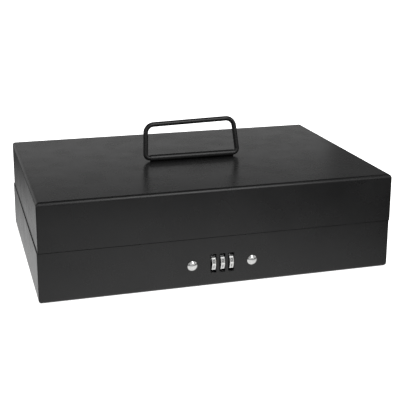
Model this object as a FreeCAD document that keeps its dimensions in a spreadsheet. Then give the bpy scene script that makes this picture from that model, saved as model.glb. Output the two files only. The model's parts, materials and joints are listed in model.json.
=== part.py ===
"""Steel cash box with a lift-up lid, a folding wire handle, a three-wheel number lock and a money tray.

The box stands on the XY plane: +X runs along its width to the right, +Y from the lock to the hinge, and
+Z up. The origin is the centre of the underside. All sizes are in millimetres, and the driving ones are
in the spreadsheet "dims", to which the sub-parts are bound by expressions.
"""
import FreeCAD
import Part
import math
import os
import re
import Sketcher

DIMENSIONS = {
    # The box: a folded steel base with a rim stepped inward, and a lid that closes over the rim and sits
    # flush above the base's shoulder, a little to the right of it.
    "box_width": 398.4,
    "box_depth": 270.0,
    "box_height": 110.0,
    "sheet": 0.8,
    "split_height": 55.8,
    "seam": 0.4,
    "lid_shift": 0.9,
    "skirt_gap": 1.3,
    "edge_round": 0.3,
    "rim_overlap": 6.0,
    "rim_flange": 5.0,
    "lid_bend": 4.0,
    "base_bend": 4.0,
    "corner_bend": 1.2,
    "notch_width": 34.0,
    # The continuous hinge along the back.
    "hinge_pin_radius": 1.25,
    "hinge_wall": 0.9,
    "hinge_play": 0.05,
    "hinge_drop": 2.4,
    "hinge_clearance": 0.3,
    "knuckle_pitch": 25.0,
    "knuckle_gap": 0.4,
    "leaf_height": 12.0,
    # The wire handle and the rolled barrel that it turns in. The wire is a little narrower at the top,
    # lower on its left and skewed to the left, as hand-bent ones are.
    "wire_radius": 2.9,
    "handle_span": 114.0,
    "handle_reach": 40.7,
    "handle_taper": 3.0,
    "handle_skew": 1.3,
    "handle_slant": 1.35,
    "handle_bend": 10.0,
    "handle_foot_bend": 5.0,
    "handle_lean": 8.0,
    "handle_offset": 2.0,
    "handle_forward": 6.0,
    "barrel_length": 103.0,
    "barrel_wall": 0.9,
    "barrel_play": 0.07,
    "wire_insert": 14.0,
    "tab_width": 8.0,
    "tab_spacing": 36.0,
    "tab_foot": 5.0,
    "tab_play": 0.2,
    # The number lock.
    "lock_height": 25.5,
    "wheel_radius": 10.6,
    "wheel_width": 4.2,
    "wheel_pitch": 10.1,
    "wheel_proud": 2.9,
    "notch_radius": 0.75,
    "slot_width": 6.6,
    "slot_height": 21.6,
    "spindle_radius": 1.5,
    "spindle_play": 0.06,
    "hub_radius": 3.2,
    "disc_radius": 5.4,
    "disc_width": 2.0,
    "gate_depth": 1.3,
    "gate_width": 1.9,
    "plate": 1.2,
    "case_width": 84.0,
    "case_height": 28.0,
    "cheek_spacing": 38.4,
    "case_depth": 22.4,
    "bolt_spacing": 68.0,
    "bolt_head_radius": 5.6,
    "bolt_head_rim": 1.0,
    "bolt_head_height": 3.4,
    "bolt_radius": 2.4,
    "bolt_length": 11.0,
    "bolt_square": 5.0,
    "bolt_play": 0.1,
    "nut_width": 8.0,
    "nut_thickness": 4.0,
    "washer_radius": 5.0,
    "washer_thickness": 1.0,
    "clip_thickness": 0.7,
    "clip_radius": 3.5,
    "spring_leaf": 0.6,
    "latch_width": 32.0,
    "latch_height": 16.1,
    "latch_bar": 1.6,
    "rivet_radius": 1.9,
    "rivet_head": 0.7,
    "lever_travel": 4.0,
    "lever_height": 2.8,
    "lever_left": 4.3,
    "lever_width": 5.6,
    "lever_rise": 19.2,
    "lever_reach": 5.0,
    "keeper_rim": 1.6,
    "keeper_side": 1.9,
    "rivet_drop": 8.0,
    "detent_leaf": 0.5,
    "detent_foot": 4.0,
    "detent_gap": 2.2,
    "detent_width": 3.0,
    "finger_width": 1.4,
    "strike_width": 20.0,
    "strike_lip": 2.6,
    "strike_flange": 18.0,
    "strike_clearance": 1.2,
    "strike_depth": 4.9,
    "strike_height": 14.2,
    # The money tray, which stands on a ledge at each side.
    "tray_floor_height": 47.0,
    "tray_height": 37.0,
    "tray_width": 381.0,
    "tray_depth": 247.0,
    "tray_wall": 2.0,
    "coin_depth": 78.0,
    "coin_height": 24.0,
    "tray_corner": 4.0,
    "coin_scoop": 9.0,
    "ledge_width": 12.0,
    "ledge_length": 220.0,
    "hold_down_length": 62.0,
    "hold_down_width": 20.0,
    "hold_down_sheet": 1.2,
    "hold_down_tilt": 26.0,
    "hold_down_toe": 7.0,
    "rod_radius": 1.5,
    "rod_play": 0.06,
}

WHEELS = (-1, 0, 1)
DIGITS = 10
TABS = (-1, 0, 1)
SIDES = (-1, 1)
HOLD_DOWNS = (-2, -1, 0, 1, 2)

doc = FreeCAD.newDocument("cash_box")
dims = doc.addObject("Spreadsheet::Sheet", "dims")
for row, (alias, size) in enumerate(DIMENSIONS.items(), start=1):
    dims.set("A%d" % row, alias)
    dims.set("B%d" % row, str(size))
    dims.setAlias("B%d" % row, alias)
doc.recompute()

subparts = []


# ---------------------------------------------------------------- helpers

def sized(text):
    """The expression for a size: every alias in the text becomes a reference to its cell."""
    def reference(match):
        word = match.group(0)
        return "dims." + word if word in DIMENSIONS else word
    return re.sub(r"[a-z_]+", reference, text)


def number(text):
    """The value of a size written with aliases."""
    found = dims.evalExpression(sized(text))
    return float(getattr(found, "Value", found))


def bind(thing, path, text):
    thing.setExpression(path, sized(text))


def place(thing, at):
    for axis, text in zip("xyz", at):
        bind(thing, "Placement.Base." + axis, text)


def box(name, low, size):
    """A block from its low corner and its size along X, Y and Z."""
    block = doc.addObject("Part::Box", name)
    for side, text in zip(("Length", "Width", "Height"), size):
        bind(block, side, text)
    place(block, low)
    return block


def rod(name, start, radius, length, along="X"):
    """A round bar from its start point, along +X, +Y or +Z."""
    bar = doc.addObject("Part::Cylinder", name)
    turns = {"X": ((0, 1, 0), 90), "Y": ((1, 0, 0), -90), "Z": ((0, 0, 1), 0)}
    axis, angle = turns[along]
    bar.Placement = FreeCAD.Placement(FreeCAD.Vector(), FreeCAD.Rotation(FreeCAD.Vector(*axis), angle))
    bind(bar, "Radius", radius)
    bind(bar, "Height", length)
    place(bar, start)
    return bar


def join(name, shapes):
    """One solid, or a group of separate ones, from several shapes."""
    whole = doc.addObject("Part::MultiFuse", name)
    whole.Shapes = shapes
    return whole


def cut(name, base, tools):
    tool = tools[0] if len(tools) == 1 else join(name + "_cutters", tools)
    rest = doc.addObject("Part::Cut", name)
    rest.Base = base
    rest.Tool = tool
    return rest


def sketch_on(body, plane, name, offset=None):
    """A sketch on one of the body's own origin planes, moved along the plane's normal if asked."""
    sketch = body.newObject("Sketcher::SketchObject", name)
    support = next(p for p in body.Origin.OriginFeatures if p.Role == plane)
    sketch.AttachmentSupport = [(support, "")]
    sketch.MapMode = "FlatFace"
    if offset:
        bind(sketch, "AttachmentOffset.Base.z", offset)
    return sketch


def pin_point(sketch, geo, end, across, up):
    """Hold one point of the sketch at a distance across and up from the sketch's origin."""
    for kind, text, axis in (("DistanceX", across, -2), ("DistanceY", up, -1)):
        size = number(text)
        if abs(size) < 1e-9:
            sketch.addConstraint(Sketcher.Constraint("PointOnObject", geo, end, axis))
        else:
            index = sketch.addConstraint(Sketcher.Constraint(kind, -1, 1, geo, end, size))
            sketch.setExpression("Constraints[%d]" % index, sized(text))


def outline(sketch, corners):
    """A closed outline of straight lines through corners given as (across, up) sizes."""
    points = [FreeCAD.Vector(number(a), number(u), 0) for a, u in corners]
    first = sketch.GeometryCount
    count = len(corners)
    for i in range(count):
        sketch.addGeometry(Part.LineSegment(points[i], points[(i + 1) % count]), False)
    for i in range(count):
        sketch.addConstraint(Sketcher.Constraint("Coincident", first + i, 2, first + (i + 1) % count, 1))
    for i, (across, up) in enumerate(corners):
        pin_point(sketch, first + i, 1, across, up)


def rectangle(sketch, left, bottom, right, top):
    outline(sketch, [(left, bottom), (right, bottom), (right, top), (left, top)])


def circle(sketch, across, up, radius):
    centre = FreeCAD.Vector(number(across), number(up), 0)
    geo = sketch.addGeometry(Part.Circle(centre, FreeCAD.Vector(0, 0, 1), number(radius)), False)
    index = sketch.addConstraint(Sketcher.Constraint("Radius", geo, number(radius)))
    sketch.setExpression("Constraints[%d]" % index, sized(radius))
    pin_point(sketch, geo, 3, across, up)


def pad(body, sketch, length, name, reverse=False, middle=False):
    feature = body.newObject("PartDesign::Pad", name)
    feature.Profile = sketch
    feature.Reversed = reverse
    feature.Midplane = middle
    bind(feature, "Length", length)
    return feature


def pocket(body, sketch, length, name, reverse=False, middle=False):
    """A pocket that is checked to take material away."""
    doc.recompute()
    before = body.Tip.Shape.Volume
    feature = body.newObject("PartDesign::Pocket", name)
    feature.Profile = sketch
    feature.Reversed = reverse
    feature.Midplane = middle
    bind(feature, "Length", length)
    doc.recompute()
    if feature.Shape.Volume > before - 0.01:
        raise RuntimeError("%s cuts nothing" % name)
    return feature


def round_edges(body, name, radius, wanted):
    """Round the edges of the body's tip that the test picks."""
    doc.recompute()
    base = body.Tip
    names = ["Edge%d" % (i + 1) for i, edge in enumerate(base.Shape.Edges) if wanted(edge)]
    fillet = body.newObject("PartDesign::Fillet", name)
    fillet.Base = (base, names)
    bind(fillet, "Radius", radius)
    return fillet


def hollow(body, name, wall, height):
    """Turn the body's solid into a shell that is open at its flat face at this height."""
    doc.recompute()
    base = body.Tip
    faces = ["Face%d" % (i + 1) for i, face in enumerate(base.Shape.Faces)
             if face.BoundBox.ZLength < 0.01 and abs(face.BoundBox.ZMin - height) < 0.01]
    shell = body.newObject("PartDesign::Thickness", name)
    shell.Base = (base, faces)
    shell.Reversed = True
    shell.Join = 0
    bind(shell, "Value", wall)
    doc.recompute()
    return shell


def upright(edge):
    bounds = edge.BoundBox
    return bounds.ZLength > 1 and bounds.XLength + bounds.YLength < 0.01


def level_at(height):
    def test(edge):
        bounds = edge.BoundBox
        return bounds.ZLength < 0.01 and abs(bounds.ZMin - height) < 0.01
    return test


def new_body(name):
    return doc.addObject("PartDesign::Body", name)


def finished(thing, label):
    """Name a sub-part: its label is its file's name."""
    thing.Label = label
    subparts.append(thing)
    return thing


# Places that several sub-parts share, as sizes.
HALF_WIDTH = "(box_width / 2)"
HALF_DEPTH = "(box_depth / 2)"
SHOULDER = "(split_height - seam)"
RIM_X = "(box_width / 2 - sheet - skirt_gap)"
RIM_Y = "(box_depth / 2 - sheet - skirt_gap)"
RIM = "(split_height + rim_overlap)"
KNUCKLE = "(hinge_pin_radius + hinge_play + hinge_wall)"
HINGE_Y = "(" + HALF_DEPTH + " + hinge_clearance + " + KNUCKLE + ")"
HINGE_Z = "(split_height - hinge_drop)"
BARREL = "(wire_radius + barrel_play + barrel_wall)"
HANDLE_Z = "(box_height + " + BARREL + ")"
HANDLE_Y = "(0 - handle_forward)"
WHEEL_Y = "(wheel_radius - wheel_proud - " + HALF_DEPTH + ")"
INNER_FRONT = "(sheet - " + HALF_DEPTH + ")"
CASE_BACK = "(" + INNER_FRONT + " + case_depth)"
CASE_FOOT = "(lock_height - case_height / 2)"
BOLT_HOLE = "(bolt_square + 2 * bolt_play)"
DISC_START = "(wheel_width / 2 + 0.9)"


# ---------------------------------------------------------------- base and lid

def ring(body, name, top, outer, inner, height):
    """A rectangular ring that hangs down from its top; outer and inner are its half sizes in X and Y."""
    sketch = sketch_on(body, "XY_Plane", name + "_outline", top)
    for half_x, half_y in (outer, inner):
        rectangle(sketch, "-" + half_x, "-" + half_y, half_x, half_y)
    pad(body, sketch, height, name, reverse=True)


def base_shell():
    """Folded steel pan with a stepped rim and its flange, wheel slots, bolt holes and a strike notch."""
    body = new_body("base_shell_body")
    floor = sketch_on(body, "XY_Plane", "base_outline")
    rectangle(floor, "-" + HALF_WIDTH, "-" + HALF_DEPTH, HALF_WIDTH, HALF_DEPTH)
    pad(body, floor, SHOULDER, "base_block")
    round_edges(body, "base_corners", "corner_bend", upright)
    round_edges(body, "base_bottom_bend", "base_bend", level_at(0.0))
    hollow(body, "base_hollow", "sheet", number(SHOULDER))

    rim_outer = (RIM_X, RIM_Y)
    rim_inner = ("(%s - sheet)" % RIM_X, "(%s - sheet)" % RIM_Y)
    wall_middle = ("(%s - sheet / 2)" % HALF_WIDTH, "(%s - sheet / 2)" % HALF_DEPTH)
    rim_middle = ("(%s - sheet / 2)" % RIM_X, "(%s - sheet / 2)" % RIM_Y)
    flange_inner = ("(%s - sheet - rim_flange)" % RIM_X, "(%s - sheet - rim_flange)" % RIM_Y)
    ring(body, "shoulder", SHOULDER, wall_middle, rim_inner, "sheet")
    ring(body, "rim_wall", RIM, rim_outer, rim_inner, "rim_overlap + seam + sheet / 2")
    ring(body, "rim_flange_ring", RIM, rim_middle, flange_inner, "sheet")

    notch = sketch_on(body, "XY_Plane", "strike_notch", RIM)
    rectangle(notch, "-notch_width / 2", "sheet - " + RIM_Y, "notch_width / 2",
              "sheet + rim_flange + 1 - " + RIM_Y)
    pocket(body, notch, "sheet + 1", "strike_notch_cut")

    front = sketch_on(body, "XZ_Plane", "lock_openings", HALF_DEPTH + " + 1")
    for wheel in WHEELS:
        middle = "%d * wheel_pitch" % wheel
        rectangle(front, middle + " - slot_width / 2", "lock_height - slot_height / 2",
                  middle + " + slot_width / 2", "lock_height + slot_height / 2")
    for side in SIDES:
        middle = "%d * bolt_spacing / 2" % side
        half = BOLT_HOLE + " / 2"
        rectangle(front, middle + " - " + half, "lock_height - " + half,
                  middle + " + " + half, "lock_height + " + half)
    pocket(body, front, "sheet + 2", "lock_openings_cut")
    return finished(body, "base_shell")


def lid_shell():
    """Folded steel lid with slots for the tabs of the handle's barrel."""
    body = new_body("lid_shell_body")
    top = sketch_on(body, "XY_Plane", "lid_outline", "split_height")
    rectangle(top, "lid_shift - " + HALF_WIDTH, "-" + HALF_DEPTH, "lid_shift + " + HALF_WIDTH, HALF_DEPTH)
    pad(body, top, "box_height - split_height", "lid_block")
    round_edges(body, "lid_corners", "corner_bend", upright)
    round_edges(body, "lid_top_bend", "lid_bend", level_at(number("box_height")))

    hollow(body, "lid_hollow", "sheet", number("split_height"))
    round_edges(body, "skirt_edge_round", "edge_round", level_at(number("split_height")))

    slots = sketch_on(body, "XY_Plane", "tab_slots", "box_height + 1")
    for tab in TABS:
        middle = "%d * tab_spacing + handle_offset" % tab
        rectangle(slots, middle + " - tab_width / 2 - tab_play", HANDLE_Y + " - sheet / 2 - tab_play",
                  middle + " + tab_width / 2 + tab_play", HANDLE_Y + " + sheet / 2 + tab_play")
    pocket(body, slots, "sheet + 2", "tab_slots_cut")
    return finished(body, "lid_shell")


# ---------------------------------------------------------------- hinge

def knuckle_places(of_lid):
    """Where each leaf's knuckles start: the leaves take turns along the pin, the base's at both ends."""
    count = int(number("box_width - 20") // number("knuckle_pitch"))
    count -= 1 - count % 2
    first = -count / 2
    return [first + i for i in range(count) if (i % 2 == 1) == of_lid]


def hinge_length():
    return 2 * abs(knuckle_places(False)[0])


def hinge_leaf(of_lid):
    """A strip spot-welded along the back wall, with knuckles rolled from its edge."""
    name = "hinge_leaf_lid" if of_lid else "hinge_leaf_base"
    half = "(%f * knuckle_pitch)" % (hinge_length() / 2)
    shapes = []
    face = HALF_DEPTH
    if of_lid:
        low = HINGE_Z + " + " + KNUCKLE + " + hinge_clearance"
    else:
        low = HINGE_Z + " - " + KNUCKLE + " - hinge_clearance - leaf_height"
    shapes.append(box(name + "_strip", ("-" + half, face, low), ("2 * " + half, "sheet", "leaf_height")))
    for i, start in enumerate(knuckle_places(of_lid)):
        left = "%f * knuckle_pitch + knuckle_gap / 2" % start
        length = "knuckle_pitch - knuckle_gap"
        shapes.append(rod("%s_knuckle_%d" % (name, i), (left, HINGE_Y, HINGE_Z), KNUCKLE, length))
        reach = "(" + KNUCKLE + " + 0.4)"
        foot = HINGE_Z if of_lid else HINGE_Z + " - " + reach
        shapes.append(box("%s_tongue_%d" % (name, i), (left, face, foot), (length, "sheet", reach)))
    leaf = join(name + "_solid", shapes)
    bore = rod(name + "_bore", ("-1 - " + half, HINGE_Y, HINGE_Z), "hinge_pin_radius + hinge_play",
               "2 * %s + 2" % half)
    return finished(cut(name, leaf, [bore]), name)


def hinge_pin():
    half = "(%f * knuckle_pitch)" % (hinge_length() / 2)
    start = "(hinge_clearance - %s)" % half
    pin = rod("hinge_pin_rod", (start, HINGE_Y, HINGE_Z), "hinge_pin_radius", "-2 * " + start)
    return finished(pin, "hinge_pin")


# ---------------------------------------------------------------- handle

def handle_barrel():
    """A strip rolled into a tube across the lid, held by tabs that go through the lid and bend over."""
    left = "(handle_offset - barrel_length / 2)"
    shapes = [rod("barrel_tube", (left, HANDLE_Y, HANDLE_Z), BARREL, "barrel_length")]
    for tab in TABS:
        corner = ("%d * tab_spacing - tab_width / 2 + handle_offset" % tab, HANDLE_Y + " - sheet / 2",
                  "box_height - 2 * sheet")
        shapes.append(box("tab_%d" % (tab + 2), corner, ("tab_width", "sheet", "2 * sheet + 1")))
        shapes.append(box("tab_foot_%d" % (tab + 2), corner, ("tab_width", "tab_foot", "sheet")))
    solid = join("barrel_solid", shapes)
    bore = rod("barrel_bore", (left + " - 1", HANDLE_Y, HANDLE_Z), "wire_radius + barrel_play",
               "barrel_length + 2")
    return finished(cut("handle_barrel_cut", solid, [bore]), "handle_barrel")


def rounded_path(points, radii):
    """Straight runs through the points, each inner point rounded by a tangent arc of its radius."""
    edges = []
    start = points[0]
    for before, corner, after, radius in zip(points, points[1:], points[2:], radii):
        back = (before - corner).normalize()
        ahead = (after - corner).normalize()
        half_angle = back.getAngle(ahead) / 2
        reach = radius / math.tan(half_angle)
        middle = (back + ahead).normalize() * (radius / math.sin(half_angle) - radius)
        edges.append(Part.LineSegment(start, corner + back * reach))
        edges.append(Part.Arc(corner + back * reach, corner + middle, corner + ahead * reach))
        start = corner + ahead * reach
    edges.append(Part.LineSegment(start, points[-1]))
    return edges


def wire_handle():
    """One round wire: up from the barrel, across and down, with both ends turned into the barrel."""
    body = new_body("wire_handle_body")
    path = sketch_on(body, "XZ_Plane", "wire_path")
    end = number("barrel_length / 2 - wire_insert")
    side = number("handle_span / 2")
    top_left = number("handle_taper - handle_skew - handle_span / 2")
    top_right = number("handle_span / 2 - handle_taper - handle_skew")
    points = [
        FreeCAD.Vector(-end, 0, 0),
        FreeCAD.Vector(-side, 0, 0),
        FreeCAD.Vector(top_left, number("handle_reach - handle_slant"), 0),
        FreeCAD.Vector(top_right, number("handle_reach + handle_slant"), 0),
        FreeCAD.Vector(side, 0, 0),
        FreeCAD.Vector(end, 0, 0),
    ]
    foot, bend = number("handle_foot_bend"), number("handle_bend")
    edges = rounded_path(points, [foot, bend, bend, foot])
    path.addGeometry(edges, False)
    section = sketch_on(body, "YZ_Plane", "wire_section", "wire_insert - barrel_length / 2")
    circle(section, "0", "0", "wire_radius")
    doc.recompute()
    pipe = body.newObject("PartDesign::AdditivePipe", "wire_sweep")
    pipe.Profile = section
    pipe.Spine = (path, ["Edge%d" % (i + 1) for i in range(len(edges))])
    pipe.Mode = "Frenet"
    lean = FreeCAD.Rotation(FreeCAD.Vector(1, 0, 0), -number("handle_lean"))
    body.Placement = FreeCAD.Placement(FreeCAD.Vector(), lean)
    place(body, ("handle_offset", HANDLE_Y, HANDLE_Z))
    return finished(body, "wire_handle")


# ---------------------------------------------------------------- number lock

LEVER_FOOT = "(" + CASE_FOOT + " + lever_rise)"
RIVET_PLACES = ("-12.5", "-5.5")
RIVET_HEIGHT = "(lock_height - rivet_drop)"


def rivet_holes(name, start):
    """Cutters for the latch rivets' holes through a sheet that starts here."""
    return [rod("%s_%d" % (name, i), (x, start + " - 1", RIVET_HEIGHT), "rivet_radius / 2 + 0.05",
                "plate + 2", "Y") for i, x in enumerate(RIVET_PLACES)]


def lock_case():
    """Folded bracket behind the front panel: a mounting plate and a cheek at each end of the spindle."""
    shapes = [box("case_plate", ("-case_width / 2", INNER_FRONT, CASE_FOOT),
                  ("case_width", "plate", "case_height"))]
    for side in SIDES:
        left = "cheek_spacing / 2" if side > 0 else "-cheek_spacing / 2 - plate"
        shapes.append(box("case_cheek_%d" % (side + 2), (left, INNER_FRONT, CASE_FOOT),
                          ("plate", "case_depth", "case_height")))
    solid = join("case_solid", shapes)
    before = INNER_FRONT + " - 1"
    through = "plate + 2"
    holes = []
    for wheel in WHEELS:
        corner = ("%d * wheel_pitch - slot_width / 2" % wheel, before, "lock_height - slot_height / 2")
        holes.append(box("case_slot_%d" % (wheel + 2), corner, ("slot_width", through, "slot_height")))
    for side in SIDES:
        corner = ("%d * bolt_spacing / 2 - %s / 2" % (side, BOLT_HOLE), before,
                  "lock_height - %s / 2" % BOLT_HOLE)
        holes.append(box("case_bolt_hole_%d" % (side + 2), corner, (BOLT_HOLE, through, BOLT_HOLE)))
    holes.append(rod("case_spindle_hole", ("-cheek_spacing", WHEEL_Y, "lock_height"),
                     "spindle_radius + spindle_play", "2 * cheek_spacing"))
    return finished(cut("lock_case_cut", solid, holes), "lock_case")


def lock_cover():
    """Back and bottom cover of the lock, between the cheeks, slotted for the code-change lever."""
    left = "-cheek_spacing / 2"
    inner = CASE_BACK + " - plate"
    gap = "(plate + 0.2)"
    back = box("cover_back", (left, inner, CASE_FOOT), ("cheek_spacing", "plate", "case_height - 1.5"))
    bottom = box("cover_bottom", (left, INNER_FRONT + " + " + gap, CASE_FOOT),
                 ("cheek_spacing", "case_depth - " + gap, "plate"))
    slot = box("cover_slot", ("lever_left - 0.3", inner + " - 1", LEVER_FOOT + " - 0.2"),
               ("lever_width + lever_travel + 0.8", "plate + 2", "lever_height + 0.4"))
    holes = [slot] + rivet_holes("cover_rivet_hole", inner)
    return finished(cut("lock_cover_cut", join("cover_solid", [back, bottom]), holes), "lock_cover")


def code_change_lever():
    """Slide behind the lock that frees the wheels from their code discs while a new code is set."""
    start = CASE_BACK + " - plate - 1.2"
    thumb = box("lever_thumb", ("lever_left", start, LEVER_FOOT),
                ("lever_width", "plate + lever_reach", "lever_height"))
    keeper = box("lever_keeper", ("lever_left - keeper_side", start, LEVER_FOOT + " - keeper_rim"),
                 ("lever_width + 2 * keeper_side", "1", "lever_height + 2 * keeper_rim"))
    return finished(join("lever_solid", [thumb, keeper]), "code_change_lever")


def clip_left(side):
    """Where a clip's groove starts, just outside its cheek."""
    return "%d * (cheek_spacing / 2 + plate + 0.6) - 0.4" % side


def dial_spindle():
    """Rod through the wheels and both cheeks, grooved at each end for its clip."""
    length = "(cheek_spacing + 2 * plate + 4)"
    bar = rod("spindle_bar", ("-%s / 2" % length, WHEEL_Y, "lock_height"), "spindle_radius", length)
    grooves = []
    for side in SIDES:
        tag = str(side + 2)
        outer = rod("groove_outer_" + tag, (clip_left(side), WHEEL_Y, "lock_height"),
                    "spindle_radius + 1", "clip_thickness + 0.1")
        inner = rod("groove_inner_" + tag, (clip_left(side) + " - 1", WHEEL_Y, "lock_height"),
                    "spindle_radius - 0.4", "clip_thickness + 2")
        grooves.append(cut("groove_" + tag, outer, [inner]))
    return finished(cut("dial_spindle_cut", bar, grooves), "dial_spindle")


def spindle_clips():
    """Two open retaining rings in the spindle's grooves."""
    clips = []
    for side in SIDES:
        tag = str(side + 2)
        left = clip_left(side) + " + 0.05"
        before = left + " - 1"
        ring = rod("clip_ring_" + tag, (left, WHEEL_Y, "lock_height"), "clip_radius", "clip_thickness")
        bore = rod("clip_bore_" + tag, (before, WHEEL_Y, "lock_height"), "spindle_radius - 0.35",
                   "clip_thickness + 2")
        mouth = box("clip_mouth_" + tag, (before, WHEEL_Y + " - 0.9", "lock_height - 5"),
                    ("clip_thickness + 2", "1.8", "5"))
        clips.append(cut("clip_" + tag, ring, [bore, mouth]))
    return finished(join("clips_pair", clips), "spindle_clips")


def number_wheel(place_index):
    """Ten-sided wheel with a finger notch at every corner and a hub that carries its code disc."""
    body = new_body("wheel_body_%d" % (place_index + 2))
    rim = sketch_on(body, "YZ_Plane", "wheel_rim")
    turns = ["%g deg" % (corner * 360 / DIGITS) for corner in range(DIGITS)]
    outline(rim, [("wheel_radius * cos(%s)" % turn, "wheel_radius * sin(%s)" % turn) for turn in turns])
    pad(body, rim, "wheel_width", "wheel_disc", middle=True)
    hub = sketch_on(body, "YZ_Plane", "wheel_hub_outline")
    circle(hub, "0", "0", "hub_radius")
    pad(body, hub, "wheel_pitch - wheel_width / 2 - 0.3", "wheel_hub")
    notch = sketch_on(body, "YZ_Plane", "wheel_notch")
    circle(notch, "-wheel_radius", "0", "notch_radius")
    first = pocket(body, notch, "wheel_width + 2", "wheel_notch_cut", middle=True)
    ring = body.newObject("PartDesign::PolarPattern", "wheel_notches")
    ring.Originals = [first]
    ring.Axis = (next(a for a in body.Origin.OriginFeatures if a.Role == "X_Axis"), [""])
    ring.Angle = 360
    ring.Occurrences = DIGITS
    body.Tip = ring
    bore = sketch_on(body, "YZ_Plane", "wheel_bore")
    circle(bore, "0", "0", "spindle_radius + spindle_play")
    pocket(body, bore, "4 * wheel_pitch", "wheel_bore_cut", middle=True)
    place(body, ("%d * wheel_pitch" % place_index, WHEEL_Y, "lock_height"))
    return finished(body, "number_wheel_%d" % (place_index + 2))


def code_disc(place_index):
    """Disc pressed on a wheel's hub, with the gate that the latch spring's finger drops into."""
    tag = str(place_index + 2)
    left = "%d * wheel_pitch + %s" % (place_index, DISC_START)
    before = left + " - 1"
    disc = rod("disc_" + tag, (left, WHEEL_Y, "lock_height"), "disc_radius", "disc_width")
    bore = rod("disc_bore_" + tag, (before, WHEEL_Y, "lock_height"), "hub_radius", "disc_width + 2")
    corner = (before, WHEEL_Y + " + disc_radius - gate_depth", "lock_height - gate_width / 2")
    gate = box("disc_gate_" + tag, corner, ("disc_width + 2", "gate_depth + 1", "gate_width"))
    return finished(cut("code_disc_cut_" + tag, disc, [bore, gate]), "code_disc_" + tag)


def latch_spring():
    """Spring-steel leaf: its fingers feel for the discs' gates, and a bar at its top holds the strike."""
    inside = "(" + CASE_BACK + " - plate)"
    left = "-latch_width / 2"
    leaf_y = inside + " - spring_leaf"
    foot = "(" + CASE_FOOT + " + plate + 0.3)"
    top = "(lock_height + latch_height)"
    front = "(0.2 + " + INNER_FRONT + ")"
    shapes = [
        box("latch_leaf", (left, leaf_y, foot),
            ("latch_width / 2 - 1", "spring_leaf", top + " - " + foot)),
        box("latch_bridge", (left, leaf_y, top + " - 1.2"), ("latch_width", "spring_leaf", "2")),
        box("latch_rail", (left, leaf_y, "lock_height - 2.5"), ("latch_width", "spring_leaf", "4")),
        box("latch_bar", (left, front, top), ("latch_width", "0.8", "latch_bar")),
    ]
    arm = "3"
    for side in SIDES:
        arm_left = "latch_width / 2 - " + arm if side > 0 else left
        shapes.append(box("latch_arm_%d" % (side + 2), (arm_left, front, top),
                          (arm, inside + " - " + front, "0.8")))
    tip = "(" + WHEEL_Y + " + disc_radius - gate_depth + 0.3)"
    for wheel in WHEELS:
        middle = "%d * wheel_pitch + %s + disc_width / 2" % (wheel, DISC_START)
        shapes.append(box("latch_finger_%d" % (wheel + 2),
                          (middle + " - finger_width / 2", tip, "lock_height - spring_leaf"),
                          ("finger_width", inside + " - " + tip, "2 * spring_leaf")))
    holes = rivet_holes("latch_rivet_hole", leaf_y)
    return finished(cut("latch_cut", join("latch_solid", shapes), holes), "latch_spring")


def latch_rivets():
    """Two rivets that hold the latch spring's foot to the cover."""
    rivets = []
    for i, x in enumerate(RIVET_PLACES):
        inside = "(" + CASE_BACK + " - plate - spring_leaf)"
        head = rod("latch_rivet_head_%d" % i, (x, inside + " - rivet_head", RIVET_HEIGHT), "rivet_radius",
                   "rivet_head", "Y")
        shank = rod("latch_rivet_shank_%d" % i, (x, inside, RIVET_HEIGHT), "rivet_radius / 2",
                    "plate + spring_leaf", "Y")
        tail = rod("latch_rivet_tail_%d" % i, (x, CASE_BACK, RIVET_HEIGHT), "rivet_radius",
                   "rivet_head", "Y")
        rivets.append(join("latch_rivet_%d" % i, [head, shank, tail]))
    return finished(join("latch_rivets_pair", rivets), "latch_rivets")


def detent_spring():
    """Comb spring on the cover's floor: one finger clicks into the notches of each wheel."""
    body = new_body("detent_spring_body")
    base = CASE_FOOT + " + plate"
    strip = sketch_on(body, "YZ_Plane", "detent_strip")
    back = CASE_BACK + " - plate - detent_gap"
    rectangle(strip, back + " - detent_foot", base, back, base + " + detent_leaf")
    pad(body, strip, "2 * wheel_pitch + wheel_width", "detent_strip_pad", middle=True)
    reach = "(wheel_radius - notch_radius + 0.3)"
    tip_y = WHEEL_Y + " + %s * sin(%g deg)" % (reach, 180 / DIGITS)
    tip_z = "lock_height - %s * cos(%g deg)" % (reach, 180 / DIGITS)
    for wheel in WHEELS:
        start = "%d * wheel_pitch - detent_width / 2" % wheel
        finger = sketch_on(body, "YZ_Plane", "detent_finger_%d" % (wheel + 2), start)
        outline(finger, [(back + " - detent_foot", base),
                         (back + " - detent_foot + 0.4", base + " + detent_leaf"),
                         (tip_y, tip_z), (tip_y + " - 0.5", tip_z + " - 0.2")])
        pad(body, finger, "detent_width", "detent_finger_pad_%d" % (wheel + 2))
    return finished(body, "detent_spring")


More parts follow.
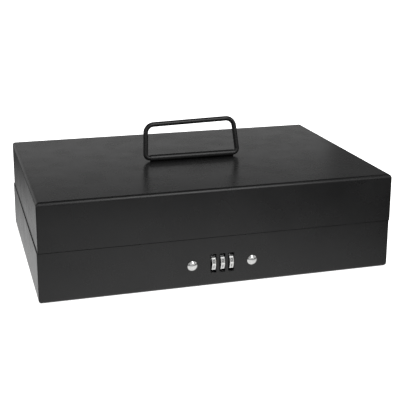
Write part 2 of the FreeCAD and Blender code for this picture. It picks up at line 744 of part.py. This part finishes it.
def bolt_set():
    """Smooth-headed square-neck bolts, with the washers and nuts that hold the lock to the panel."""
    bolts, washers, nuts = [], [], []
    cap = "(bolt_head_height - bolt_head_rim)"
    sphere_size = "((bolt_head_radius * bolt_head_radius + %s * %s) / (2 * %s))" % (cap, cap, cap)
    inner = "(" + INNER_FRONT + " + plate)"
    for side in SIDES:
        tag = str(side + 2)
        x = "%d * bolt_spacing / 2" % side
        ball = doc.addObject("Part::Sphere", "bolt_ball_" + tag)
        bind(ball, "Radius", sphere_size)
        place(ball, (x, "%s - bolt_head_height - %s" % (sphere_size, HALF_DEPTH), "lock_height"))
        blank = rod("bolt_blank_" + tag, (x, "-bolt_head_height - " + HALF_DEPTH, "lock_height"),
                    "bolt_head_radius", "bolt_head_height", "Y")
        head = doc.addObject("Part::Common", "bolt_head_" + tag)
        head.Base = ball
        head.Tool = blank
        neck = box("bolt_neck_" + tag, (x + " - bolt_square / 2", "-0.2 - " + HALF_DEPTH,
                                        "lock_height - bolt_square / 2"),
                   ("bolt_square", "sheet + plate + 0.1", "bolt_square"))
        shank = rod("bolt_shank_" + tag, (x, "-0.2 - " + HALF_DEPTH, "lock_height"), "bolt_radius",
                    "bolt_length", "Y")
        bolts.append(join("bolt_" + tag, [head, neck, shank]))

        ring = rod("washer_ring_" + tag, (x, inner, "lock_height"), "washer_radius",
                   "washer_thickness", "Y")
        hole = rod("washer_hole_" + tag, (x, inner + " - 1", "lock_height"), "bolt_radius + 0.3",
                   "washer_thickness + 2", "Y")
        washers.append(cut("washer_" + tag, ring, [hole]))

        hexagon = doc.addObject("Part::Prism", "nut_hexagon_" + tag)
        hexagon.Polygon = 6
        back = FreeCAD.Rotation(FreeCAD.Vector(1, 0, 0), -90)
        hexagon.Placement = FreeCAD.Placement(FreeCAD.Vector(), back)
        bind(hexagon, "Circumradius", "nut_width / sqrt(3)")
        bind(hexagon, "Height", "nut_thickness")
        place(hexagon, (x, inner + " + washer_thickness", "lock_height"))
        bore = rod("nut_bore_" + tag, (x, inner, "lock_height"), "bolt_radius + bolt_play",
                   "nut_thickness + 2", "Y")
        nuts.append(cut("nut_" + tag, hexagon, [bore]))
    finished(join("bolts_pair", bolts), "lock_bolts")
    finished(join("washers_pair", washers), "lock_washers")
    finished(join("nuts_pair", nuts), "lock_nuts")


def strike_bracket():
    """Bracket on the lid's front skirt: over the base's rim and down to the lip that the latch holds."""
    drop_y = "(" + INNER_FRONT + " + strike_depth)"
    over = "(" + RIM + " + strike_clearance)"
    lip = "(lock_height + strike_height)"
    left = "-strike_width / 2"
    flange = box("strike_back", (left + " - 4", INNER_FRONT, over),
                 ("strike_width + 8", "plate", "strike_flange"))
    shelf = box("strike_shelf", (left, INNER_FRONT, over), ("strike_width", "strike_depth + plate", "plate"))
    drop = box("strike_drop", (left, drop_y, lip), ("strike_width", "plate", over + " + plate - " + lip))
    hook = box("strike_lip", (left, drop_y + " - strike_lip", lip),
               ("strike_width", "strike_lip + plate", "plate"))
    return finished(join("strike_solid", [flange, shelf, drop, hook]), "strike_bracket")


# ---------------------------------------------------------------- money tray

COLUMNS = 5
PITCH_X = "((tray_width - tray_wall) / %d)" % COLUMNS
TRAY_FRONT = "(-tray_depth / 2)"
ROD_Y = "(tray_depth / 2 - tray_wall - 8)"
ROD_Z = "(tray_floor_height + tray_height - 5)"


def tray_ledges():
    """Angle strips on the base's side walls, on which the tray stands."""
    ledges = []
    for side in SIDES:
        tag = str(side + 2)
        wall = "(%s - sheet)" % HALF_WIDTH
        low_x = wall + " - ledge_width" if side > 0 else "-" + wall
        leg_x = wall + " - plate" if side > 0 else "-" + wall
        shelf = box("ledge_shelf_" + tag, (low_x, "-ledge_length / 2", "tray_floor_height - plate"),
                    ("ledge_width", "ledge_length", "plate"))
        leg = box("ledge_leg_" + tag, (leg_x, "-ledge_length / 2", "tray_floor_height - ledge_width"),
                  ("plate", "ledge_length", "ledge_width"))
        ledges.append(join("ledge_" + tag, [shelf, leg]))
    return finished(join("ledges_pair", ledges), "tray_ledges")


def money_tray():
    """Moulded tray: a row of shallow coin cups along the front and a row of deep note bays behind."""
    body = new_body("money_tray_body")
    base = sketch_on(body, "XY_Plane", "tray_outline", "tray_floor_height")
    rectangle(base, "-tray_width / 2", TRAY_FRONT, "tray_width / 2", "tray_depth / 2")
    pad(body, base, "tray_height", "tray_block")
    round_edges(body, "tray_corners", "tray_corner", upright)
    round_edges(body, "tray_bottom_round", "1.5", level_at(number("tray_floor_height")))

    notes = sketch_on(body, "XY_Plane", "note_bays", "tray_floor_height + tray_height")
    coins = sketch_on(body, "XY_Plane", "coin_cups", "tray_floor_height + tray_height")
    for column in range(COLUMNS):
        left = "-tray_width / 2 + tray_wall + %d * %s" % (column, PITCH_X)
        right = "-tray_width / 2 + %d * %s" % (column + 1, PITCH_X)
        rectangle(notes, left, TRAY_FRONT + " + coin_depth + tray_wall", right,
                  "tray_depth / 2 - tray_wall")
        rectangle(coins, left, TRAY_FRONT + " + tray_wall", right, TRAY_FRONT + " + coin_depth")
    pocket(body, notes, "tray_height - tray_wall", "note_bays_cut")
    pocket(body, coins, "coin_height", "coin_cups_cut")
    doc.recompute()
    cup_floor = number("tray_floor_height + tray_height - coin_height")
    round_edges(body, "coin_cup_round", "coin_scoop", cup_scoop(cup_floor))

    under = sketch_on(body, "XY_Plane", "cup_underside", "tray_floor_height")
    rectangle(under, "tray_wall - tray_width / 2", TRAY_FRONT + " + tray_wall",
              "tray_width / 2 - tray_wall", TRAY_FRONT + " + coin_depth")
    pocket(body, under, "tray_height - coin_height - tray_wall", "cup_underside_cut", reverse=True)

    pivots = sketch_on(body, "YZ_Plane", "rod_holes")
    circle(pivots, ROD_Y, ROD_Z, "rod_radius + rod_play")
    pocket(body, pivots, "tray_width + 2", "rod_holes_cut", middle=True)
    return finished(body, "money_tray")


def cup_scoop(height):
    """Picks the coin cups' front and back floor edges, which are rounded so that coins slide out."""
    def test(edge):
        bounds = edge.BoundBox
        return abs(bounds.ZMin - height) < 0.01 and bounds.ZLength < 0.01 and bounds.XLength > 10
    return test


def hold_down_rod():
    """Steel rod through the tray's side walls and partitions, on which the note weights swing."""
    length = "tray_width - 1"
    bar = rod("hold_down_bar", ("-(%s) / 2" % length, ROD_Y, ROD_Z), "rod_radius", length)
    return finished(bar, "hold_down_rod")


def hold_down(place_index):
    """Note weight: a steel tongue with an eye rolled round the rod and a turned-up toe."""
    tag = str(place_index + 3)
    eye = "(rod_radius + rod_play + hold_down_sheet)"
    half = "hold_down_width / 2"
    span = "(%s - tray_wall - 1.5)" % PITCH_X
    barrel = rod("eye_" + tag, ("-%s / 2" % span, "0", "0"), eye, span)
    tongue = box("tongue_" + tag, ("-" + half, "-hold_down_length", "-" + eye),
                 ("hold_down_width", "hold_down_length", "hold_down_sheet"))
    toe = box("toe_" + tag, ("-" + half, "-hold_down_length", "-" + eye),
              ("hold_down_width", "hold_down_sheet", "hold_down_toe"))
    bore = rod("eye_bore_" + tag, ("-%s / 2 - 1" % span, "0", "0"), "rod_radius + rod_play",
               span + " + 2")
    weight = cut("hold_down_cut_" + tag, join("hold_down_solid_" + tag, [barrel, tongue, toe]), [bore])
    tilt = FreeCAD.Rotation(FreeCAD.Vector(1, 0, 0), number("hold_down_tilt"))
    weight.Placement = FreeCAD.Placement(FreeCAD.Vector(), tilt)
    place(weight, ("%d * %s" % (place_index, PITCH_X), ROD_Y, ROD_Z))
    return finished(weight, "note_weight_%d" % (place_index + 3))


# ---------------------------------------------------------------- build and write

base_shell()
lid_shell()
hinge_leaf(False)
hinge_leaf(True)
hinge_pin()
handle_barrel()
wire_handle()
lock_case()
lock_cover()
code_change_lever()
dial_spindle()
spindle_clips()
for index in WHEELS:
    number_wheel(index)
    code_disc(index)
latch_spring()
latch_rivets()
detent_spring()
bolt_set()
strike_bracket()
tray_ledges()
money_tray()
hold_down_rod()
for index in HOLD_DOWNS:
    hold_down(index)
doc.recompute()

for thing in doc.Objects:
    if "Invalid" in thing.State or "Error" in thing.State:
        raise RuntimeError("%s failed: %s" % (thing.Name, thing.State))
os.makedirs("parts", exist_ok=True)
for thing in subparts:
    shape = thing.Shape
    if shape.isNull() or not shape.isValid() or not shape.Solids:
        raise RuntimeError("%s has no valid solid" % thing.Label)
    shape.exportStep("parts/%s.step" % thing.Label)
    print("%-20s %d solid(s) %10.1f mm3" % (thing.Label, len(shape.Solids), shape.Volume))
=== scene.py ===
"""Looks of the steel cash box: its finishes, the numerals on its wheels, and a plain studio."""
import bpy
import json
import math
from mathutils import Matrix, Vector


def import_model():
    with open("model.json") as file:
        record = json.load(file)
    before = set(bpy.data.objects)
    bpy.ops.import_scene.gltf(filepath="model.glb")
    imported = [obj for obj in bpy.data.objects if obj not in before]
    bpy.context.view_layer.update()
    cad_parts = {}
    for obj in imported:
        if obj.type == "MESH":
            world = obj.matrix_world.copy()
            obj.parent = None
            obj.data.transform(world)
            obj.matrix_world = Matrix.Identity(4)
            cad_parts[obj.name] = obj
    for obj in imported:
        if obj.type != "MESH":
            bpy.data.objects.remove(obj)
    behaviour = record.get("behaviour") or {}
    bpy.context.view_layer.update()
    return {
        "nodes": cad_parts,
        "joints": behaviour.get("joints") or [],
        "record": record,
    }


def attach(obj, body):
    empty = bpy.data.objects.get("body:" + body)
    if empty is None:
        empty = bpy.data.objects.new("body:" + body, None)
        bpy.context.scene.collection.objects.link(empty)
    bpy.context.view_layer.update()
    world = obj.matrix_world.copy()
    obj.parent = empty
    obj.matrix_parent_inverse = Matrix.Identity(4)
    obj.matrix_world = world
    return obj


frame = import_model()

MM = 0.001


# ---------------------------------------------------------------- materials

# A noise texture's values lie mostly between these two.
NOISE_LOW, NOISE_HIGH = 0.3, 0.7


class Shader:
    """A material with one Principled surface, and short calls for the nodes that feed it."""

    def __init__(self, name, colour, metallic=0.0, roughness=0.5):
        self.material = bpy.data.materials.new(name)
        self.material.use_nodes = True
        self.nodes = self.material.node_tree.nodes
        self.links = self.material.node_tree.links
        self.surface = self.nodes["Principled BSDF"]
        self.set("Base Color", (*colour, 1.0))
        self.set("Metallic", metallic)
        self.set("Roughness", roughness)
        self.coordinates = self.nodes.new("ShaderNodeTexCoord")

    def set(self, socket, value):
        self.surface.inputs[socket].default_value = value

    def feed(self, socket, output):
        self.links.new(output, self.surface.inputs[socket])

    def noise(self, size, detail=2.0, stretch=(1.0, 1.0, 1.0)):
        """Soft noise whose lumps are about this size, in metres, longer along a stretched axis."""
        mapping = self.nodes.new("ShaderNodeMapping")
        mapping.inputs["Scale"].default_value = [1.0 / s for s in stretch]
        self.links.new(self.coordinates.outputs["Object"], mapping.inputs["Vector"])
        texture = self.nodes.new("ShaderNodeTexNoise")
        texture.inputs["Scale"].default_value = 1.0 / size
        texture.inputs["Detail"].default_value = detail
        self.links.new(mapping.outputs["Vector"], texture.inputs["Vector"])
        return texture.outputs["Fac"]

    def cells(self, size):
        """Flat-toned cells of about this size, in metres."""
        texture = self.nodes.new("ShaderNodeTexVoronoi")
        texture.inputs["Scale"].default_value = 1.0 / size
        self.links.new(self.coordinates.outputs["Object"], texture.inputs["Vector"])
        grey = self.nodes.new("ShaderNodeRGBToBW")
        self.links.new(texture.outputs["Color"], grey.inputs["Color"])
        return grey.outputs["Val"]

    def spread(self, factor, low, high, start=NOISE_LOW, end=NOISE_HIGH):
        """Turn a factor that runs from start to end into numbers that run from low to high."""
        node = self.nodes.new("ShaderNodeMapRange")
        set_range(node, start, end, low, high)
        self.links.new(factor, node.inputs["Value"])
        return node.outputs["Result"]

    def mix(self, factor, first, second):
        """Mix two colours, of which the first may be another node's output."""
        node = self.nodes.new("ShaderNodeMix")
        node.data_type = "RGBA"
        if isinstance(first, bpy.types.NodeSocket):
            self.links.new(first, node.inputs["A"])
        else:
            node.inputs["A"].default_value = (*first, 1.0)
        node.inputs["B"].default_value = (*second, 1.0)
        self.links.new(factor, node.inputs["Factor"])
        return node.outputs["Result"]

    def blend(self, factor, first, second):
        """Mix two colours by a texture."""
        return self.mix(self.spread(factor, 0.0, 1.0), first, second)

    def bump(self, height, depth, strength, below=None):
        """Bump of this depth, in metres, on top of another bump if one is given."""
        node = self.nodes.new("ShaderNodeBump")
        node.inputs["Strength"].default_value = strength
        node.inputs["Distance"].default_value = depth
        self.links.new(height, node.inputs["Height"])
        if below:
            self.links.new(below, node.inputs["Normal"])
        return node.outputs["Normal"]


def set_range(node, start, end, low, high):
    """Make a Map Range node turn start to end into low to high."""
    for socket, value in (("From Min", start), ("From Max", end), ("To Min", low), ("To Max", high)):
        node.inputs[socket].default_value = value


def tinted(colour, factor, lift=0.0):
    """A colour made lighter or darker."""
    return [part * factor + lift for part in colour]


def powder_coat(name, colour, roughness):
    """Satin powder coat: fine orange peel, with slow changes of tone and gloss."""
    tone_size, gloss_size = 60 * MM, 25 * MM
    duller, glossier = 0.035, 0.03
    peel_size, peel_depth = 2.4 * MM, 0.004 * MM
    grain_size, grain_depth = 0.5 * MM, 0.002 * MM
    strength = 0.4
    coat = Shader(name, colour, roughness=roughness)
    tone = coat.noise(tone_size, detail=3.0)
    coat.feed("Base Color", coat.blend(tone, colour, tinted(colour, 1.35, 0.0015)))
    gloss = coat.noise(gloss_size, detail=4.0)
    coat.feed("Roughness", coat.spread(gloss, roughness - glossier, roughness + duller))
    peel = coat.bump(coat.noise(peel_size, detail=1.0), peel_depth, strength)
    coat.feed("Normal", coat.bump(coat.noise(grain_size), grain_depth, strength, peel))
    return coat.material


def plated(name, colour, roughness, spangle=0.0, scratches=0.0):
    """Bright metal, clouded or else spangled like zinc, with hairline scratches if asked for."""
    cloud_size, gloss_size = 4 * MM, 3 * MM
    hair_width, hair_stretch, hair_strength = 0.12 * MM, 14.0, 0.6
    metal = Shader(name, colour, metallic=1.0, roughness=roughness)
    tone = metal.cells(spangle) if spangle else metal.noise(cloud_size, detail=3.0)
    metal.feed("Base Color", metal.blend(tone, tinted(colour, 0.86), colour))
    gloss = metal.noise(gloss_size, detail=4.0)
    metal.feed("Roughness", metal.spread(gloss, roughness * 0.8, roughness * 1.3))
    if scratches:
        hair = metal.noise(hair_width, stretch=(hair_stretch, 1.0, 1.0))
        metal.feed("Normal", metal.bump(hair, scratches, hair_strength))
    return metal.material


def wheel_metal(name, colour, roughness, side_shade_colour):
    """Bright number wheel whose two side faces are darkened as painted shade, where the wheels face
    each other.
    """
    cloud_size = 2 * MM
    shade_starts, shade_whole = 0.6, 0.8  # how far a face's direction lies along the wheel's axis, X
    hair_width, hair_stretch = 0.1 * MM, 20.0
    hair_depth, hair_strength = 0.004 * MM, 0.5
    metal = Shader(name, colour, metallic=1.0, roughness=roughness)
    facing = metal.nodes.new("ShaderNodeSeparateXYZ")
    metal.links.new(metal.coordinates.outputs["Normal"], facing.inputs[0])
    sideways = metal.nodes.new("ShaderNodeMath")
    sideways.operation = "ABSOLUTE"
    metal.links.new(facing.outputs["X"], sideways.inputs[0])
    bright = metal.blend(metal.noise(cloud_size, detail=3.0), tinted(colour, 0.9), colour)
    # Faces turned along the wheel's axis, X, get the side colour: painted shade between the wheels.
    side_shade = metal.spread(sideways.outputs[0], 0.0, 1.0, shade_starts, shade_whole)
    metal.feed("Base Color", metal.mix(side_shade, bright, side_shade_colour))
    hair = metal.noise(hair_width, stretch=(hair_stretch, 1.0, 1.0))
    metal.feed("Normal", metal.bump(hair, hair_depth, hair_strength))
    return metal.material


def moulded(name, colour, roughness, grain):
    """Moulded plastic with a fine spark-eroded grain."""
    tone_size = 30 * MM
    gloss_change = 0.08
    grain_depth, grain_strength = 0.03 * MM, 0.6
    plastic = Shader(name, colour, roughness=roughness)
    tone = plastic.noise(tone_size, detail=3.0)
    plastic.feed("Base Color", plastic.blend(tone, colour, tinted(colour, 1.5)))
    gloss = plastic.noise(grain)
    plastic.feed("Roughness", plastic.spread(gloss, roughness - gloss_change, roughness + gloss_change))
    plastic.feed("Normal", plastic.bump(plastic.noise(grain, detail=3.0), grain_depth, grain_strength))
    return plastic.material


SLOT_MATERIALS = {
    "black_steel": powder_coat("black_powder_coat", (0.0034, 0.0034, 0.0035), 0.26),
    "zinc_steel": plated("zinc_plate", (0.68, 0.69, 0.7), 0.3, spangle=2.5 * MM, scratches=0.01 * MM),
    "spring_steel": plated("spring_steel", (0.34, 0.36, 0.42), 0.26, scratches=0.006 * MM),
    "chrome": plated("chrome_plate", (0.83, 0.83, 0.82), 0.12),
    "brass": plated("turned_brass", (0.83, 0.62, 0.29), 0.24, scratches=0.008 * MM),
    "tray_plastic": moulded("tray_plastic", (0.022, 0.022, 0.024), 0.5, 0.4 * MM),
    "note_steel": powder_coat("black_enamel", (0.014, 0.014, 0.015), 0.2),
}
# The last colour is the painted shade on the wheels' side faces.
WHEEL_METAL = wheel_metal("wheel_nickel", (0.8, 0.8, 0.79), 0.16, (0.02, 0.02, 0.02))
INK = powder_coat("numeral_ink", (0.01, 0.01, 0.01), 0.45)


def dress_cad_nodes():
    """Give every CAD node the finish of its slot in the record, and the wheels their own."""
    for row in frame["record"]["subparts"]:
        node = frame["nodes"][row["node"]]
        wheel = row["node"].startswith("number_wheel")
        node.data.materials.clear()
        node.data.materials.append(WHEEL_METAL if wheel else SLOT_MATERIALS[row["material_slot"]])


# ---------------------------------------------------------------- number wheels

WHEELS = 3
FACETS = 10
FACET_ANGLE = 2 * math.pi / FACETS
# From a wheel's axis to its flats. A wheel's box doesn't tell it, as notches cut the corners off.
FLAT_RADIUS = 10.08 * MM
DIGIT_HEIGHT = 4.0 * MM
DIGIT_BOLDNESS = 0.1 * MM
DIGIT_RELIEF = 0.04 * MM
# The font's digits are 0.7 of its size high, and the boldness adds the rest of their height.
FONT_SIZE = DIGIT_HEIGHT * 1.35


def digit_mesh(text):
    """A numeral in low relief, centred on its own origin, standing up along its own Y."""
    curve = bpy.data.curves.new("numeral", "FONT")
    curve.body = text
    curve.align_x = "CENTER"
    curve.align_y = "CENTER"
    curve.size = FONT_SIZE
    curve.offset = DIGIT_BOLDNESS
    curve.extrude = DIGIT_RELIEF
    shown = bpy.data.objects.new("numeral", curve)
    bpy.context.scene.collection.objects.link(shown)
    bpy.context.view_layer.update()
    mesh = bpy.data.meshes.new_from_object(shown.evaluated_get(bpy.context.evaluated_depsgraph_get()))
    bpy.data.objects.remove(shown)
    axes = list(zip(*(v.co for v in mesh.vertices)))
    middle = Vector([(min(axis) + max(axis)) / 2 for axis in axes])
    mesh.transform(Matrix.Translation(-middle))
    return mesh


def number_wheel_digits(wheel):
    """Ten numerals, one on each flat of a wheel, joined into one piece that turns with it."""
    joint = next(j for j in frame["joints"] if j["name"] == "wheel_%d_turn" % wheel)
    centre = Vector(joint["pos_m"])
    verts, faces = [], []
    for digit in range(FACETS):
        mesh = digit_mesh(str(digit))
        angle = math.pi - FACET_ANGLE / 2 + digit * FACET_ANGLE
        outward = Vector((0, math.cos(angle), math.sin(angle)))
        upward = Vector((0, math.sin(angle), -math.cos(angle)))
        across = upward.cross(outward)
        turn = Matrix((across, upward, outward)).transposed()
        start = len(verts)
        for v in mesh.vertices:
            verts.append(centre + turn @ v.co + outward * FLAT_RADIUS)
        faces += [[start + i for i in p.vertices] for p in mesh.polygons]
    mesh = bpy.data.meshes.new("wheel_%d_numerals" % wheel)
    mesh.from_pydata(verts, [], faces)
    piece = bpy.data.objects.new("wheel_%d_numerals" % wheel, mesh)
    bpy.context.scene.collection.objects.link(piece)
    mesh.materials.append(INK)
    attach(piece, "wheel_%d" % wheel)


# ---------------------------------------------------------------- studio

FLOOR_REACH = 6.0
FLOOR_GREY = 0.9
FLOOR_GLOW = 0.75
# In reflections the floor shows a painted pool of light, brightest round a point under the box and
# fading away from it.
# The pool is narrowed along X, and its centre is given as it stands after that narrowing.
LIGHT_POOL_CENTRE = (-0.06, -0.05, 0.0)
LIGHT_POOL_NARROWING = (1.35, 1.0, 1.0)
FADE_START, FADE_END = 0.05, 0.64
LIGHT_POOL_BRIGHTNESS, FAR_BRIGHTNESS = 0.9, 0.08

# In reflections the room has these greys, by how far up one looks: 0 is level, 1 is straight up.
ROOM_HEIGHTS = (0.0, 0.15, 0.35, 0.6, 1.0)
ROOM_GREYS = (0.12, 0.13, 0.14, 0.06, 0.05)

BOX_FRONT = (0, -0.1, 0.05)
SOFTBOXES = (
    # name, place, aim, width, height, radiance
    ("front_softbox", (0.25, -0.92, 0.87), BOX_FRONT, 0.5, 0.8, 2.3),
    ("overhead_card", (0.1, -0.7, 1.4), BOX_FRONT, 2.4, 0.9, 0.3),
    ("front_wall", (0.1, -1.7, 0.75), (0.1, 0, 0.3), 3.0, 1.3, 0.5),
    ("left_wall", (-1.5, -0.3, 0.8), BOX_FRONT, 1.8, 1.1, 0.45),
    ("right_wall", (1.5, -0.3, 0.8), BOX_FRONT, 1.8, 1.1, 0.45),
    ("back_card", (-0.27, 0.6, 0.16), (-0.27, 0, 0.16), 1.46, 0.3, 0.26),
)


def show_and_reflect(nodes, links, shown, reflected, surface):
    """Use one shader where a surface is seen or lights something, and another in reflections."""
    pick = nodes.new("ShaderNodeMixShader")
    links.new(nodes.new("ShaderNodeLightPath").outputs["Is Glossy Ray"], pick.inputs["Fac"])
    links.new(shown.outputs[0], pick.inputs[1])
    links.new(reflected.outputs[0], pick.inputs[2])
    links.new(pick.outputs[0], surface)


def floor_material():
    """Pale floor: white to look at, and in reflections a painted pool of light, brighter under the box
    than far from it.
    """
    material = bpy.data.materials.new("pale_floor")
    material.use_nodes = True
    nodes, links = material.node_tree.nodes, material.node_tree.links
    nodes.clear()
    output = nodes.new("ShaderNodeOutputMaterial")
    pale = nodes.new("ShaderNodeBsdfDiffuse")
    pale.inputs["Color"].default_value = (FLOOR_GREY, FLOOR_GREY, FLOOR_GREY, 1.0)
    glow = nodes.new("ShaderNodeEmission")
    glow.inputs["Strength"].default_value = FLOOR_GLOW
    both = nodes.new("ShaderNodeAddShader")
    links.new(pale.outputs[0], both.inputs[0])
    links.new(glow.outputs[0], both.inputs[1])
    narrowed = nodes.new("ShaderNodeVectorMath")
    narrowed.operation = "MULTIPLY"
    narrowed.inputs[1].default_value = LIGHT_POOL_NARROWING
    links.new(nodes.new("ShaderNodeNewGeometry").outputs["Position"], narrowed.inputs[0])
    away = nodes.new("ShaderNodeVectorMath")
    away.operation = "DISTANCE"
    away.inputs[1].default_value = LIGHT_POOL_CENTRE
    links.new(narrowed.outputs[0], away.inputs[0])
    fade = nodes.new("ShaderNodeMapRange")
    fade.interpolation_type = "SMOOTHSTEP"
    set_range(fade, FADE_START, FADE_END, LIGHT_POOL_BRIGHTNESS, FAR_BRIGHTNESS)
    links.new(away.outputs["Value"], fade.inputs["Value"])
    # In reflections the floor glows by this fade: a painted pool of light.
    mirrored = nodes.new("ShaderNodeEmission")
    links.new(fade.outputs["Result"], mirrored.inputs["Strength"])
    show_and_reflect(nodes, links, both, mirrored, output.inputs["Surface"])
    return material


def floor():
    mesh = bpy.data.meshes.new("floor")
    corners = [(x * FLOOR_REACH, y * FLOOR_REACH, 0) for x, y in ((-1, -1), (1, -1), (1, 1), (-1, 1))]
    mesh.from_pydata(corners, [], [(0, 1, 2, 3)])
    plane = bpy.data.objects.new("floor", mesh)
    bpy.context.scene.collection.objects.link(plane)
    mesh.materials.append(floor_material())


def world():
    """White room, with grey walls and a dark ceiling where things reflect it."""
    room = bpy.data.worlds.new("studio")
    room.use_nodes = True
    bpy.context.scene.world = room
    nodes, links = room.node_tree.nodes, room.node_tree.links
    nodes.clear()
    output = nodes.new("ShaderNodeOutputWorld")
    white = nodes.new("ShaderNodeBackground")
    white.inputs["Color"].default_value = (1.0, 1.0, 1.0, 1.0)
    direction = nodes.new("ShaderNodeSeparateXYZ")
    links.new(nodes.new("ShaderNodeTexCoord").outputs["Generated"], direction.inputs[0])
    ramp = nodes.new("ShaderNodeValToRGB")
    stops = ramp.color_ramp.elements
    for height in ROOM_HEIGHTS[1:-1]:
        stops.new(height)
    for stop, grey in zip(stops, ROOM_GREYS):
        stop.color = (grey, grey, grey, 1.0)
    links.new(direction.outputs["Z"], ramp.inputs["Fac"])
    mirrored = nodes.new("ShaderNodeBackground")
    links.new(ramp.outputs["Color"], mirrored.inputs["Color"])
    show_and_reflect(nodes, links, white, mirrored, output.inputs["Surface"])


def softbox(name, place, aim, width, height, radiance):
    """Rectangular soft light, out of the camera's sight, that faces a point."""
    light = bpy.data.lights.new(name, "AREA")
    light.shape = "RECTANGLE"
    light.size = width
    light.size_y = height
    light.energy = radiance * math.pi * width * height
    lamp = bpy.data.objects.new(name, light)
    bpy.context.scene.collection.objects.link(lamp)
    lamp.location = place
    lamp.rotation_euler = (Vector(aim) - lamp.location).to_track_quat("-Z", "Y").to_euler()
    lamp.visible_camera = False


# ---------------------------------------------------------------- camera

# These were fitted to where the photograph shows the box's corners and outlines.
SENSOR_WIDTH = 36.0
LENS = 80.89
SHIFT_Y = -0.1239
EYE = (-0.28132, -1.00927, 0.38742)
AZIMUTH = math.radians(16.289)
ELEVATION = math.radians(-14.404)
ROLL = math.radians(0.2)

FURTHEST_SEEN = 20.0


def camera():
    """Long lens, a little above the box and to its left."""
    lens = bpy.data.cameras.new("camera")
    lens.sensor_width = SENSOR_WIDTH
    lens.lens = LENS
    lens.shift_y = SHIFT_Y
    lens.clip_end = FURTHEST_SEEN
    eye = bpy.data.objects.new("camera", lens)
    bpy.context.scene.collection.objects.link(eye)
    forward = Vector((
        math.sin(AZIMUTH) * math.cos(ELEVATION),
        math.cos(AZIMUTH) * math.cos(ELEVATION),
        math.sin(ELEVATION),
    ))
    level = Vector((forward.y, -forward.x, 0)).normalized()
    upward = level.cross(forward)
    right = level * math.cos(ROLL) + upward * math.sin(ROLL)
    above = right.cross(forward)
    turn = Matrix((right, above, -forward)).transposed()
    eye.matrix_world = Matrix.Translation(EYE) @ turn.to_4x4()
    bpy.context.scene.camera = eye


# ---------------------------------------------------------------- build

dress_cad_nodes()
for wheel in range(1, WHEELS + 1):
    number_wheel_digits(wheel)
floor()
world()
for row in SOFTBOXES:
    softbox(*row)
camera()
bpy.context.scene.view_settings.view_transform = "Standard"
